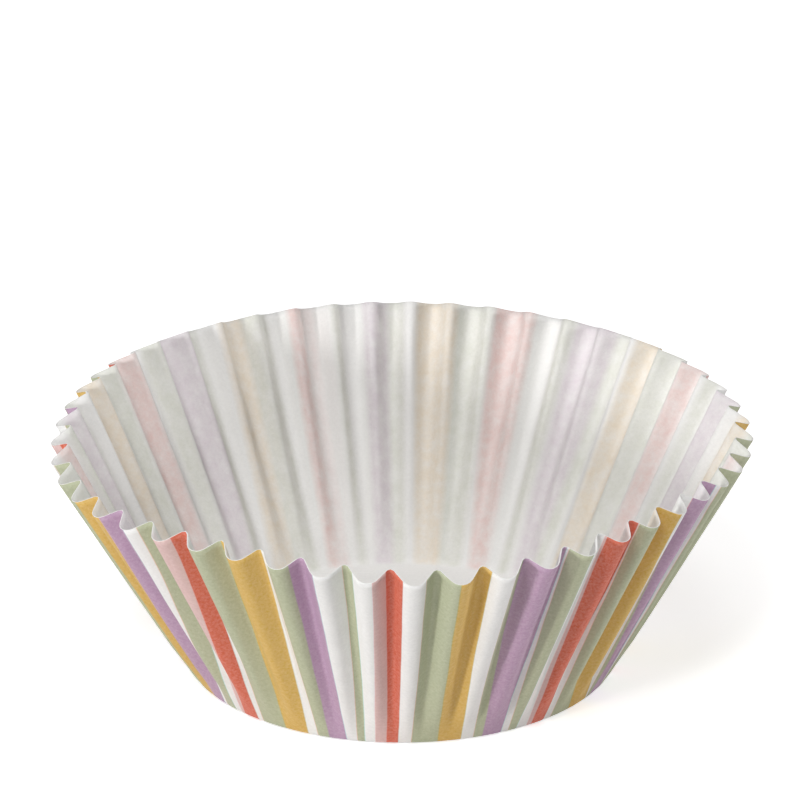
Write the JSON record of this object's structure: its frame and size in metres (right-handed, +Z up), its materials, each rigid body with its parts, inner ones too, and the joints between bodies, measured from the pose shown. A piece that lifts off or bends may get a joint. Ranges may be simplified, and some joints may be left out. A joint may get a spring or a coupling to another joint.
{
  "type": "cupcake liner",
  "caption": "Round baking cup of thin printed paper: a flat base and a leaning wall in deep upright flutes that open towards the rim, with stripes in soft colours.",
  "frame": {"origin": "middle of the base, on the surface it stands on", "axes": "+Z up along the cup's axis, -Y the side that faces the picture's camera, +X to the right of it"},
  "size_m": [0.0814, 0.0814, 0.0288],
  "materials": {
    "printed_paper": "matt greaseproof paper, printed outside"
  },
  "bodies": {
    "root": {"liner": "printed_paper"}
  },
  "joints": []
}
